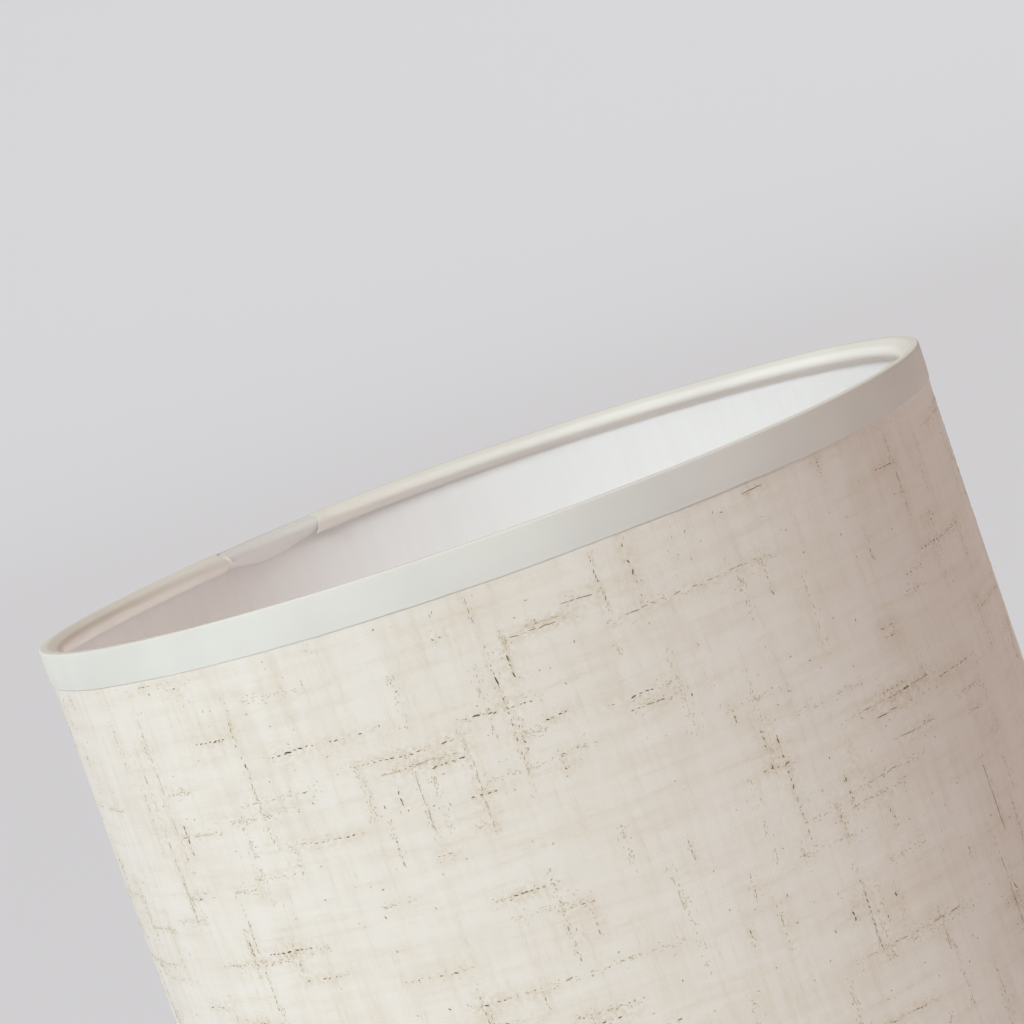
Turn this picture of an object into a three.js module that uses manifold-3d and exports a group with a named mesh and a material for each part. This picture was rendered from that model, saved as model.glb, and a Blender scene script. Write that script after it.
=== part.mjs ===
// A hardback drum lamp shade: a linen cover on a white plastic liner, a wire in each rim, a folded
// tape round each wire, and a three-armed fitter above the lower rim.
// Millimetres, +Z up. The origin is the centre of the lower rim, and the join of the cover and of
// both tapes faces +Y.
import * as THREE from 'three';
import { mergeVertices } from 'three/addons/utils/BufferGeometryUtils.js';
import Module from 'manifold-3d';

const wasm = await Module();
wasm.setup();

// Driving dimensions.
const HEIGHT = 180;
const COVER_RADIUS = 100;
const COVER_THICKNESS = 0.6;
const LINER_THICKNESS = 0.5;
const TAPE_THICKNESS = 0.4;
const TAPE_LEG = 8;
const WIRE_RADIUS = 1.2;
const CLEARANCE = 0.3;

// The cover's end laps over its beginning, between the two tapes.
const LAP_WIDTH = 10;
const LAP_STEP = 0.5;

// The tape's inner side is rolled round the wire, and stops short at the join.
const ROLL_START = 90;
const ROLL_END = 290;
const JOIN_ANGLE = 90;
const JOIN_HALF = 8;

// The join strip lies over the wire at the join and runs down to the liner.
const STRIP_THICKNESS = 0.3;
const STRIP_DEPTH = 9;
const STRIP_START = 97;
const STRIP_LEAVES_WIRE = 204;

// The fitter.
const FITTER_HOLE_RADIUS = 21;
const FITTER_RADIUS = 29;
const FITTER_THICKNESS = 1.2;
const FITTER_BASE = 26;
const ARM_ANGLES = [30, 150, 270];
const ARM_LEVEL_RUN = 8;
const ARM_BEND_RUN = 7;
const ARM_END_GAP = 0.4;
const ARM_NOTCH_HALF = 1.7;

// Fineness of the round shapes.
const TURN_STEPS = 72;
const WIRE_SIDES = 10;
const ROLL_STEPS = 8;
const CORNER_STEPS = 2;
const ARC_STEPS = 8;
const ARM_STEPS = 24;

// Sizes that follow from the ones above.
const LINER_OUTER = COVER_RADIUS - COVER_THICKNESS - CLEARANCE;
const LINER_INNER = LINER_OUTER - LINER_THICKNESS;
const WIRE_CENTRE = LINER_INNER - CLEARANCE - WIRE_RADIUS;
const ROLL_INNER = WIRE_RADIUS + CLEARANCE;
const ROLL_OUTER = ROLL_INNER + TAPE_THICKNESS;
const EDGE_DEPTH = TAPE_THICKNESS + CLEARANCE;
const CUT_MARGIN = 5;

const DEG = Math.PI / 180;

const materials = {
  cover: new THREE.MeshStandardMaterial({ color: 0xddd5c8, roughness: 0.95, metalness: 0 }),
  liner: new THREE.MeshStandardMaterial({ color: 0xf2f1ee, roughness: 0.55, metalness: 0 }),
  tape: new THREE.MeshStandardMaterial({ color: 0xeceae4, roughness: 0.9, metalness: 0 }),
  strip: new THREE.MeshStandardMaterial({ color: 0xe6e3dc, roughness: 0.9, metalness: 0 }),
  wire: new THREE.MeshStandardMaterial({ color: 0xf0f0ee, roughness: 0.35, metalness: 0.1 }),
  fitter: new THREE.MeshStandardMaterial({ color: 0xf4f4f2, roughness: 0.35, metalness: 0.1 }),
};

// A point at an angle round a centre; both are (radius, depth below the rim) and 90 is the rim.
function polar(radius, depth, distance, angle) {
  const turn = angle * DEG;
  return new THREE.Vector2(radius + distance * Math.cos(turn), depth - distance * Math.sin(turn));
}

function arc(radius, depth, distance, start, end, steps) {
  const points = [];
  for (let i = 0; i <= steps; i += 1) {
    points.push(polar(radius, depth, distance, start + ((end - start) * i) / steps));
  }
  return points;
}

// Turns a profile of (radius, height) points round +Z into a closed ring.
function turned(profile) {
  const points = profile.map((p) => p.clone());
  if (THREE.ShapeUtils.isClockWise(points)) {
    points.reverse();
  }
  points.push(points[0].clone());
  const geometry = new THREE.LatheGeometry(points, TURN_STEPS);
  geometry.rotateX(Math.PI / 2);
  geometry.rotateZ(Math.PI / 2);
  return geometry;
}

// A profile given in depths below a rim, as heights at the upper or the lower rim.
function atRim(profile, upper) {
  return profile.map((p) => new THREE.Vector2(p.x, upper ? HEIGHT - p.y : p.y));
}

// An upright block between two radii and two angles.
function sector(inner, outer, start, end, low, high) {
  const shape = new THREE.Shape();
  for (let i = 0; i <= ARC_STEPS; i += 1) {
    const turn = (start + ((end - start) * i) / ARC_STEPS) * DEG;
    const method = i === 0 ? 'moveTo' : 'lineTo';
    shape[method](outer * Math.cos(turn), outer * Math.sin(turn));
  }
  for (let i = ARC_STEPS; i >= 0; i -= 1) {
    const turn = (start + ((end - start) * i) / ARC_STEPS) * DEG;
    shape.lineTo(inner * Math.cos(turn), inner * Math.sin(turn));
  }
  const geometry = new THREE.ExtrudeGeometry(shape, { depth: high - low, bevelEnabled: false });
  return geometry.translate(0, 0, low);
}

function toSolid(geometry) {
  const plain = geometry.clone();
  plain.deleteAttribute('normal');
  plain.deleteAttribute('uv');
  const merged = mergeVertices(plain);
  const mesh = new wasm.Mesh({
    numProp: 3,
    vertProperties: new Float32Array(merged.attributes.position.array),
    triVerts: new Uint32Array(merged.index.array),
  });
  return new wasm.Manifold(mesh);
}

function toGeometry(solid) {
  const mesh = solid.getMesh();
  const geometry = new THREE.BufferGeometry();
  geometry.setAttribute('position', new THREE.BufferAttribute(mesh.vertProperties, 3));
  geometry.setIndex(new THREE.BufferAttribute(mesh.triVerts, 1));
  geometry.computeVertexNormals();
  return geometry;
}

function part(name, geometry, material) {
  const mesh = new THREE.Mesh(geometry, material);
  mesh.name = name;
  return mesh;
}

function tube(inner, outer, low, high) {
  return turned([
    new THREE.Vector2(inner, low),
    new THREE.Vector2(outer, low),
    new THREE.Vector2(outer, high),
    new THREE.Vector2(inner, high),
  ]);
}

// The white plastic sheet rolled to a drum; it carries everything else.
function liner() {
  const geometry = tube(LINER_INNER, LINER_OUTER, EDGE_DEPTH, HEIGHT - EDGE_DEPTH);
  return part('liner', geometry, materials.liner);
}

// The linen bonded to the liner, with the raised lap of its closing seam.
function cover() {
  const sheet = tube(
    COVER_RADIUS - COVER_THICKNESS,
    COVER_RADIUS,
    EDGE_DEPTH,
    HEIGHT - EDGE_DEPTH,
  );
  const lapHalf = LAP_WIDTH / 2 / COVER_RADIUS / DEG;
  const lap = sector(
    COVER_RADIUS - COVER_THICKNESS / 2,
    COVER_RADIUS + LAP_STEP,
    JOIN_ANGLE - lapHalf,
    JOIN_ANGLE + lapHalf,
    TAPE_LEG + CLEARANCE,
    HEIGHT - TAPE_LEG - CLEARANCE,
  );
  return part('linen_cover', toGeometry(toSolid(sheet).add(toSolid(lap))), materials.cover);
}

function rimWire(name, upper) {
  const profile = arc(WIRE_CENTRE, ROLL_OUTER, WIRE_RADIUS, 0, 360, WIRE_SIDES).slice(0, -1);
  return part(name, turned(atRim(profile, upper)), materials.wire);
}

// Down the outside, over the edge of the sheets, and rolled round the wire.
function tapeProfile() {
  const corner = TAPE_THICKNESS + CLEARANCE;
  return [
    new THREE.Vector2(COVER_RADIUS + corner, TAPE_LEG),
    ...arc(COVER_RADIUS, EDGE_DEPTH, corner, 0, 90, CORNER_STEPS),
    ...arc(WIRE_CENTRE, ROLL_OUTER, ROLL_OUTER, ROLL_START, ROLL_END, ROLL_STEPS),
    ...arc(WIRE_CENTRE, ROLL_OUTER, ROLL_INNER, ROLL_END, ROLL_START, ROLL_STEPS),
    ...arc(COVER_RADIUS, EDGE_DEPTH, CLEARANCE, 90, 0, CORNER_STEPS),
    new THREE.Vector2(COVER_RADIUS + CLEARANCE, TAPE_LEG),
  ];
}

// Cuts the rolled side of a tape away between two angles.
function withoutRoll(solid, start, end) {
  const inner = WIRE_CENTRE - ROLL_OUTER - CUT_MARGIN;
  const high = HEIGHT + CUT_MARGIN;
  return solid.subtract(toSolid(sector(inner, WIRE_CENTRE, start, end, -CUT_MARGIN, high)));
}

function rimTape(name, upper) {
  let solid = toSolid(turned(atRim(tapeProfile(), upper)));
  solid = withoutRoll(solid, JOIN_ANGLE - JOIN_HALF, JOIN_ANGLE + JOIN_HALF);
  if (!upper) {
    for (const angle of ARM_ANGLES) {
      solid = withoutRoll(solid, angle - ARM_NOTCH_HALF, angle + ARM_NOTCH_HALF);
    }
  }
  return part(name, toGeometry(solid), materials.tape);
}

// The thin strip seen between the two ends of a tape's rolled side.
function joinStrip(name, upper) {
  const foot = LINER_INNER - CLEARANCE;
  const face = ROLL_INNER + STRIP_THICKNESS;
  const profile = [
    ...arc(WIRE_CENTRE, ROLL_OUTER, face, STRIP_START, STRIP_LEAVES_WIRE, ROLL_STEPS),
    new THREE.Vector2(foot - STRIP_THICKNESS, STRIP_DEPTH),
    new THREE.Vector2(foot, STRIP_DEPTH),
    ...arc(WIRE_CENTRE, ROLL_OUTER, ROLL_INNER, STRIP_LEAVES_WIRE, STRIP_START, ROLL_STEPS),
  ];
  const trim = CLEARANCE / WIRE_CENTRE / DEG;
  const window = sector(
    WIRE_CENTRE - CUT_MARGIN,
    LINER_INNER,
    JOIN_ANGLE - JOIN_HALF + trim,
    JOIN_ANGLE + JOIN_HALF - trim,
    -CUT_MARGIN,
    HEIGHT + CUT_MARGIN,
  );
  const solid = toSolid(turned(atRim(profile, upper))).intersect(toSolid(window));
  return part(name, toGeometry(solid), materials.strip);
}

// A wire arm that rises from the lower rim wire and levels out at the fitter ring's edge.
function arm(name, angle) {
  const level = FITTER_BASE + FITTER_THICKNESS / 2;
  const tip = FITTER_RADIUS + CLEARANCE;
  const foot = new THREE.Vector3(WIRE_CENTRE - WIRE_RADIUS - ARM_END_GAP, 0, ROLL_OUTER);
  const knee = new THREE.Vector3(tip + ARM_LEVEL_RUN, 0, level);
  const rise = foot.clone().sub(knee).normalize().multiplyScalar(ARM_BEND_RUN).add(knee);
  const bendEnd = new THREE.Vector3(knee.x - ARM_BEND_RUN, 0, level);
  const path = new THREE.CurvePath();
  path.add(new THREE.LineCurve3(foot, rise));
  path.add(new THREE.QuadraticBezierCurve3(rise, knee, bendEnd));
  path.add(new THREE.LineCurve3(bendEnd, new THREE.Vector3(tip, 0, level)));
  const shape = new THREE.Shape();
  shape.absarc(0, 0, WIRE_RADIUS, 0, 2 * Math.PI);
  const options = {
    extrudePath: path,
    steps: ARM_STEPS,
    curveSegments: WIRE_SIDES,
    bevelEnabled: false,
  };
  const geometry = new THREE.ExtrudeGeometry(shape, options).rotateZ(angle * DEG);
  return part(name, geometry, materials.wire);
}

// The flat steel ring that sits on the lamp holder.
function fitterRing() {
  const high = FITTER_BASE + FITTER_THICKNESS;
  const geometry = tube(FITTER_HOLE_RADIUS, FITTER_RADIUS, FITTER_BASE, high);
  return part('fitter_ring', geometry, materials.fitter);
}

const shade = new THREE.Group();
shade.name = 'drum_lamp_shade';
shade.add(
  liner(),
  cover(),
  rimWire('upper_rim_wire', true),
  rimWire('lower_rim_wire', false),
  rimTape('upper_rim_tape', true),
  rimTape('lower_rim_tape', false),
  joinStrip('upper_join_strip', true),
  joinStrip('lower_join_strip', false),
  fitterRing(),
);
ARM_ANGLES.forEach((angle, i) => shade.add(arm(`fitter_arm_${i + 1}`, angle)));

export default shade;
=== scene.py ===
"""A linen drum lamp shade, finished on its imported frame. Metres, +Z up, on its lower rim."""

import math

import bpy
import numpy as np
from bpy.props import FloatProperty, FloatVectorProperty, IntProperty, PointerProperty
from bpy.types import Operator, Panel, PropertyGroup
from mathutils import Matrix, Vector


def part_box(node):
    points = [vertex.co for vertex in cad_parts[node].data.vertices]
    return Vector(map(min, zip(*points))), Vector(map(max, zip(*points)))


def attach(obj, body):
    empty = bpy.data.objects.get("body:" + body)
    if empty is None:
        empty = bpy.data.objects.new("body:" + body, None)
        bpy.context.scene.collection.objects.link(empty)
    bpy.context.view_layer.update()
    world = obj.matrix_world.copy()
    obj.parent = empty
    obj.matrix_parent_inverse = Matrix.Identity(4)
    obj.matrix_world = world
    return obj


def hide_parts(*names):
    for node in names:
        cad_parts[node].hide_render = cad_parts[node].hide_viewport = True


bl_info = {
    "name": "Linen drum lamp shade",
    "version": (1, 0, 0),
    "blender": (4, 5, 0),
    "location": "View3D > Sidebar > Lamp shade",
    "description": "Cuts the linen, binds the rims and paints the fitter of a drum lamp shade",
    "category": "Object",
}

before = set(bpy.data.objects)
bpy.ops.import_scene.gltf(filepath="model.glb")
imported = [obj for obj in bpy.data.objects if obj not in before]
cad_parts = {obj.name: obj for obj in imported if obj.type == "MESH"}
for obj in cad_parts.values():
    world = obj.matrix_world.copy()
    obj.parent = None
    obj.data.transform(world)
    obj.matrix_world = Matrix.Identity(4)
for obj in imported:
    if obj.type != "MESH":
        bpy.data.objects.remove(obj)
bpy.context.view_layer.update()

MM = 0.001
TURN = 2 * math.pi
COVER_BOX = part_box("linen_cover")
LINER_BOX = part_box("liner")
FITTER_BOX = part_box("fitter_ring")
COVER_RADIUS = COVER_BOX[1].x
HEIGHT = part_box("upper_rim_tape")[1].z
# Where round the drum the seams and the three arms are.
JOIN = math.radians(90)
ARMS = np.radians([30.0, 150.0, 270.0])
ROOT = "root"
CLOTH_MAP = "Cloth"
# The straw keeps clear of the outer legs of both tapes.
STRAW_LOW = COVER_BOX[0].z + 8.5 * MM
STRAW_HIGH = COVER_BOX[1].z - 8.5 * MM
# The pieces that sag with the upper rim.
SETTLING = (
    "linen_sheet",
    "liner_sheet",
    "weft_flecks",
    "warp_flecks",
    "weft_dust",
    "warp_dust",
    "upper_tape",
    "upper_join",
    "upper_wire",
)


# Settings ---------------------------------------------------------------------------------------


def colour(label, default, description):
    """A colour setting with its default."""
    return FloatVectorProperty(
        name=label, description=description, default=default, subtype="COLOR", size=3, min=0, max=1
    )


def length(label, default_mm, description):
    """A length setting, stored in metres, with its default given in millimetres."""
    return FloatProperty(
        name=label,
        description=description,
        default=default_mm * MM,
        min=0,
        precision=5,
        subtype="DISTANCE",
        unit="LENGTH",
    )


def angle(label, default_degrees, description):
    """An angle setting with its default given in degrees."""
    return FloatProperty(
        name=label,
        description=description,
        default=math.radians(default_degrees),
        subtype="ANGLE",
        unit="ROTATION",
    )


class LinenSettings(PropertyGroup):
    """The cover: how the linen is cut, woven and coloured."""

    thickness: length("Thickness", 0.5, "Thickness of the cloth and its glue")
    lap: length("Seam lap", 10.0, "How far the end of the cloth laps over its beginning")
    pitch: length("Yarn pitch", 0.8, "Distance between neighbouring yarns")
    ripple: length("Ripple", 0.12, "Height of the slow unevenness of the bonded sheet")
    pale: colour("Pale yarn", (0.80, 0.742, 0.685), "The whitest yarns")
    warm: colour("Warm yarn", (0.742, 0.662, 0.582), "The yarns with flax in them")
    ochre: colour("Ochre yarn", (0.64, 0.54, 0.41), "The yarns stained by flax")
    fleck_dark: colour("Dark fleck", (0.125, 0.073, 0.032), "The darkest bits of flax straw")
    fleck_light: colour("Light fleck", (0.58, 0.45, 0.29), "The palest bits of flax straw")
    runs: IntProperty(
        name="Fleck runs", description="Broken brown threads each way", default=300, min=0
    )
    specks: IntProperty(name="Specks", description="Single brown bits", default=1100, min=0)
    dust: IntProperty(
        name="Dust", description="Smallest, palest bits each way", default=9000, min=0
    )
    seed: IntProperty(name="Seed", description="Chooses where the flecks lie", default=7, min=0)


class TapeSettings(PropertyGroup):
    """The tape folded round each rim, and the strip under its join."""

    thickness: length("Thickness", 0.4, "Thickness of the tape")
    leg: length("Outer leg", 8.0, "How far the tape reaches down the outside")
    join_half: angle("Half the bare stretch", 8.0, "Half the angle between the tape's inner ends")
    tuck: length("Inner leg", 5.0, "How far the tape is tucked down the inside")
    drop: length("Wire drop", 0.7, "How far the wire lies below the folded edge")
    sink: length("Sink", 0.2, "How far the folded edge dips along the bare stretch")
    strip_foot: length("Strip depth", 6.6, "How far down the inside the strip reaches")
    flare: length("End flare", 0.525, "How far the cut ends of the inner side stand off")
    sag: length("Sag", 1.3, "How far the upper rim sinks beside the join")
    sag_turn: angle("Sag place", 118, "Where round the rim it sinks most")
    strip_tint: colour("Strip", (0.69, 0.68, 0.67), "The colour of the layer under the join")
    tint: colour("Tape", (0.74, 0.72, 0.68), "The tape's colour")


class FrameSettings(PropertyGroup):
    """The liner, the rim wires and the fitter."""

    liner_tint: colour("Liner", (0.71, 0.705, 0.705), "The plastic sheet's colour")
    liner_thickness: length("Liner thickness", 0.5, "Thickness of the plastic sheet")
    wire: length("Wire radius", 1.2, "Radius of the rim wires and of the arms")
    paint: colour("Paint", (0.82, 0.82, 0.80), "Powder coat on the wires and the fitter ring")


class StageSettings(PropertyGroup):
    """The floor, the light and the camera. Turns are round the shade, to the camera's right."""

    floor: colour("Floor", (0.86, 0.875, 0.945), "Paper sweep under and behind the shade")
    key: FloatProperty(name="Key light", description="Strength of the main light", default=2.66)
    key_tint: colour("Key tint", (0.83, 0.955, 0.97), "Colour of the main light")
    fill: FloatProperty(name="Fill light", description="Strength of the side light", default=0.3)
    fill_tint: colour("Fill tint", (1.0, 0.45, 0.2), "Colour of the side light")
    sky: FloatProperty(name="Sky light", description="Strength of the even light", default=0.28)
    sky_tint: colour("Sky tint", (1.0, 0.76, 0.62), "Colour of the even light")
    top: FloatProperty(name="Top light", description="Power of the light overhead", default=0.07)
    top_tint: colour("Top tint", (0.93, 0.93, 0.93), "Colour of the light overhead")
    glow: FloatProperty(name="Inner light", description="Power of the light inside", default=0.107)
    glow_tint: colour("Inner tint", (1.0, 0.91, 0.88), "Colour of the light inside")
    softness: angle("Softness", 24.0, "Width of the main light as seen from the shade")
    key_turn: angle("Key turn", -41.0, "Where the main light stands, from the camera's heading")
    key_rise: angle("Key rise", 36.5, "Height of the main light over level")
    fill_turn: angle("Fill turn", 75.0, "Where the side light stands, from the camera's heading")
    fill_rise: angle("Fill rise", 25.0, "Height of the side light over level")
    heading: angle("Camera heading", -32.0, "Where round the shade the camera stands")
    away: length("Camera distance", 741.0, "How far the camera is from the drum's axis")
    above: length("Camera height", 68.0, "How far the camera is above the upper rim")
    yaw: angle("Camera yaw", 0.436, "How far the camera looks to the right of the axis")
    pitch: angle("Camera pitch", 5.81, "How far the camera looks down")
    roll: angle("Camera roll", 19.3, "How far the camera leans over to its left")
    lens: FloatProperty(name="Lens", description="Focal length in mm", default=120.4, min=1)


# Shapes -----------------------------------------------------------------------------------------


def grid_normals(points, wrap):
    """Unit normals of a grid of points: the cross product of its two directions of travel."""
    if wrap:
        along = np.roll(points, -1, 0) - np.roll(points, 1, 0)
    else:
        along = np.gradient(points, axis=0)
    across = np.gradient(points, axis=1)
    normals = np.cross(along, across)
    size = np.linalg.norm(normals, axis=-1, keepdims=True)
    return normals / np.maximum(size, 1e-12)


def shell(points, thickness, wrap=False, keep=None):
    """A closed sheet: a grid of outer points, the same grid set in along its normals by the
    thickness, and a wall along every open edge. keep says which cells of the grid are cloth."""
    rows, cols = points.shape[:2]
    depth = np.broadcast_to(thickness, (rows, cols))[..., None]
    inner = points - grid_normals(points, wrap) * depth
    cells = (rows if wrap else rows - 1, cols - 1)
    keep = np.ones(cells, bool) if keep is None else keep
    count = rows * cols
    at = np.arange(count).reshape(rows, cols)
    after = np.roll(at, -1, 0) if wrap else at[1:]
    at = at if wrap else at[:-1]
    a, b, c, d = at[:, :-1], after[:, :-1], after[:, 1:], at[:, 1:]
    outer_faces = np.stack([a, b, c, d], -1)[keep]
    framed = np.pad(keep, 1)
    if wrap:
        framed[0], framed[-1] = framed[-2], framed[1]
    before, behind = framed[:-2, 1:-1], framed[2:, 1:-1]
    below, above = framed[1:-1, :-2], framed[1:-1, 2:]
    walls = []
    for first, second, neighbour in ((a, d, before), (c, b, behind), (b, a, below), (d, c, above)):
        edge = keep & ~neighbour
        p, q = first[edge], second[edge]
        walls.append(np.stack([p, q, q + count, p + count], -1))
    faces = np.vstack([outer_faces, outer_faces[:, ::-1] + count, *walls])
    used, renumbered = np.unique(faces, return_inverse=True)
    both = np.vstack([points.reshape(-1, 3), inner.reshape(-1, 3)])
    return both[used], renumbered.reshape(faces.shape)


def link(made):
    """Puts an object in the scene."""
    bpy.context.scene.collection.objects.link(made)
    return made


def piece(name, points, faces, material, replaced=(), uv=None, tone=None, sharp=50):
    """A mesh object from arrays of points and faces. uv and tone are one value per point."""
    mesh = bpy.data.meshes.new(name)
    mesh.from_pydata(np.asarray(points).tolist(), [], [list(face) for face in faces])
    if uv is not None:
        layer = mesh.uv_layers.new(name=CLOTH_MAP)
        corners = np.zeros(len(mesh.loops), np.int32)
        mesh.loops.foreach_get("vertex_index", corners)
        layer.uv.foreach_set("vector", uv[corners].astype(np.float32).ravel())
    if tone is not None:
        attribute = mesh.attributes.new("tone", "FLOAT", "POINT")
        attribute.data.foreach_set("value", tone.astype(np.float32))
    mesh.shade_smooth()
    mesh.set_sharp_from_angle(angle=math.radians(sharp))
    mesh.materials.append(material)
    made = link(bpy.data.objects.new(name, mesh))
    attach(made, ROOT)
    if replaced:
        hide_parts(*replaced)
    return made


def round_drum(turn, radius, height):
    """Points on a drum: radius times the cosine and the sine of the turn, at the height."""
    turn, radius, height = np.broadcast_arrays(turn, radius, height)
    return np.stack([radius * np.cos(turn), radius * np.sin(turn), height], -1)


def smooth_step(x):
    """0 below 0, 1 above 1, and 3x^2 - 2x^3 between."""
    x = np.clip(x, 0, 1)
    return x * x * (3 - 2 * x)


def signed_turn(turn, centre):
    """The turn from the centre, between minus and plus half a turn."""
    return (turn - centre + math.pi) % TURN - math.pi


def slow_wave(turn, height, seed, waves=9):
    """A slow unevenness between about -1 and 1: a mean of cosines of the turn and the height."""
    rng = np.random.default_rng(seed)
    total = np.zeros(np.broadcast(turn, height).shape)
    for _ in range(waves):
        round_count, up_count = rng.integers(1, 9), rng.uniform(0.3, 2.2)
        phase_a, phase_b = rng.uniform(0, TURN, 2)
        total += np.cos(round_count * turn + phase_a) * np.cos(
            TURN * up_count * height / HEIGHT + phase_b
        )
    return total / math.sqrt(waves)


def ring_faces(at, closed=False):
    """Four-cornered faces between the rows of a grid of point numbers. Each row closes on
    itself, and where closed is true the last row also meets the first."""
    if closed:
        at = np.vstack([at, at[:1]])
    beside = np.roll(at, -1, 1)
    return np.stack([at[:-1], at[1:], beside[1:], beside[:-1]], -1).reshape(-1, 4)


def swept_ring(outline, turns):
    """An outline of (radius, height), counter-clockwise, carried round the drum's axis."""
    turn = np.linspace(0, TURN, turns, endpoint=False)[:, None]
    points = round_drum(turn, outline[None, :, 0], outline[None, :, 1])
    at = np.arange(turns * len(outline)).reshape(turns, -1)
    return points.reshape(-1, 3), ring_faces(at, closed=True)


def circle(middle, radius, start, turn, count, endpoint=True):
    """Points on an arc: the middle plus the radius times the cosine and the sine of the angle."""
    bend = np.linspace(start, start + turn, count, endpoint=endpoint)
    return np.stack([middle[0] + radius * np.cos(bend), middle[1] + radius * np.sin(bend)], -1)


def capped(rings, tips):
    """A closed skin over a row of rings of points, with a fan to a tip at both ends. Its faces
    point outwards when the rings turn right-handed about the way they are stacked."""
    count = rings.shape[0] * rings.shape[1]
    at = np.arange(count).reshape(rings.shape[:2])
    walls = ring_faces(at)[:, ::-1].tolist()
    for row, tip, step in ((at[0], count, 1), (at[-1], count + 1, -1)):
        fan = np.stack([row, np.full(len(row), tip), np.roll(row, -1)], -1)
        walls.extend(fan[:, ::step].tolist())
    return np.vstack([rings.reshape(-1, 3), *tips]), walls


def rod(path, radius, sides=20):
    """A round rod: a circle of the radius at each point of the path, square to it."""
    along = np.gradient(path, axis=0)
    along /= np.linalg.norm(along, axis=1, keepdims=True)
    side = np.cross(along, [0.0, 0.0, 1.0])
    side /= np.linalg.norm(side, axis=1, keepdims=True)
    over = np.cross(along, side)
    turn = np.linspace(0, TURN, sides, endpoint=False)[None, :, None]
    ring = radius * (np.cos(turn) * side[:, None] + np.sin(turn) * over[:, None])
    return capped(path[:, None] + ring, (path[0], path[-1]))


def bead(centre, outward, sizes, rows=8, sides=14):
    """A weld bead: an egg shape round a centre, given by its half sizes outward, across and up."""
    rise = np.linspace(0, math.pi, rows + 1)[1:-1, None]
    turn = np.linspace(0, TURN, sides, endpoint=False)[None, :]
    up = np.array([0.0, 0.0, 1.0])
    shape = (
        (sizes[0] * np.sin(rise) * np.cos(turn))[..., None] * np.array(outward)
        + (sizes[1] * np.sin(rise) * np.sin(turn))[..., None] * np.cross(up, outward)
        - (sizes[2] * np.cos(rise) * np.ones_like(turn))[..., None] * up
    )
    return capped(centre + shape, centre + np.outer([-sizes[2], sizes[2]], up))


def joined(parts):
    """Several (points, faces) as one."""
    points, faces, offset = [], [], 0
    for some_points, some_faces in parts:
        points.append(some_points)
        faces.extend([[i + offset for i in face] for face in some_faces])
        offset += len(some_points)
    return np.vstack(points), faces


# Materials --------------------------------------------------------------------------------------


def opaque(tint):
    """A colour with full alpha; an output socket is left as it is."""
    return tint if isinstance(tint, bpy.types.NodeSocket) else (*tint, 1.0)


class Nodes:
    """Adds nodes to one material and links them."""

    def __init__(self, name):
        self.material = bpy.data.materials.new(name)
        self.material.use_nodes = True
        self.tree = self.material.node_tree
        self.shader = self.tree.nodes["Principled BSDF"]

    def add(self, kind, **inputs):
        """A node of this kind, with its inputs set by name; an underscore stands for a space."""
        node = self.tree.nodes.new(kind)
        for key, value in inputs.items():
            self.feed(node, key.replace("_", " "), value)
        return node

    def feed(self, node, key, value):
        """Sets one input to a value, or links an output socket to it."""
        if isinstance(value, bpy.types.NodeSocket):
            self.tree.links.new(value, node.inputs[key])
        else:
            node.inputs[key].default_value = value

    def math(self, operation, *values):
        """One arithmetic step."""
        node = self.tree.nodes.new("ShaderNodeMath")
        node.operation = operation
        for i, value in enumerate(values):
            self.feed(node, i, value)
        return node.outputs[0]

    def noise(self, where, scale, detail=2.0, roughness=0.5):
        """A noise value between 0 and 1."""
        look = {"Scale": scale, "Detail": detail, "Roughness": roughness}
        return self.add("ShaderNodeTexNoise", Vector=where, **look).outputs[0]

    def point(self, x, y, z=0.0):
        """A point from three values."""
        return self.add("ShaderNodeCombineXYZ", X=x, Y=y, Z=z).outputs[0]

    def ramp(self, value, low, high):
        """0 at low, 1 at high, and smooth between."""
        node = self.add("ShaderNodeMapRange", Value=value, From_Min=low, From_Max=high)
        node.interpolation_type = "SMOOTHSTEP"
        return node.outputs[0]

    def mix(self, share, first, second):
        """The first colour at 0 and the second at 1."""
        node = self.tree.nodes.new("ShaderNodeMix")
        node.data_type = "RGBA"
        self.feed(node, 0, share)
        for socket, value in ((6, first), (7, second)):
            self.feed(node, socket, opaque(value))
        return node.outputs[2]

    def toned(self, value, tint, share):
        """The tint where the value is 0, and the given share of it where the value is 1."""
        return self.mix(value, tint, tuple(c * share for c in tint))

    def here(self):
        """The point's own place in the object's coordinates."""
        return self.tree.nodes.new("ShaderNodeTexCoord").outputs["Object"]

    def own(self, name):
        """The value of one of the mesh's own attributes."""
        node = self.tree.nodes.new("ShaderNodeAttribute")
        node.attribute_name = name
        return node.outputs["Fac"]

    def set(self, **values):
        """Sets or links the shader's own sockets; an underscore stands for a space."""
        values["Base_Color"] = opaque(values["Base_Color"])
        for key, value in values.items():
            self.feed(self.shader, key.replace("_", " "), value)
        return self.material

    def bump(self, height, distance, strength=1.0):
        """Raises the surface by up to the distance, in metres, where the height is 1."""
        node = self.add("ShaderNodeBump", Strength=strength, Distance=distance, Height=height)
        self.tree.links.new(node.outputs[0], self.shader.inputs["Normal"])


def cloth_places(nodes):
    """Millimetres along and up the cloth, from its own UV map."""
    uv = nodes.tree.nodes.new("ShaderNodeUVMap")
    uv.uv_map = CLOTH_MAP
    parts = nodes.add("ShaderNodeSeparateXYZ", Vector=uv.outputs[0])
    return [nodes.math("MULTIPLY", parts.outputs[i], 1000.0) for i in (0, 1)]


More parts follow.
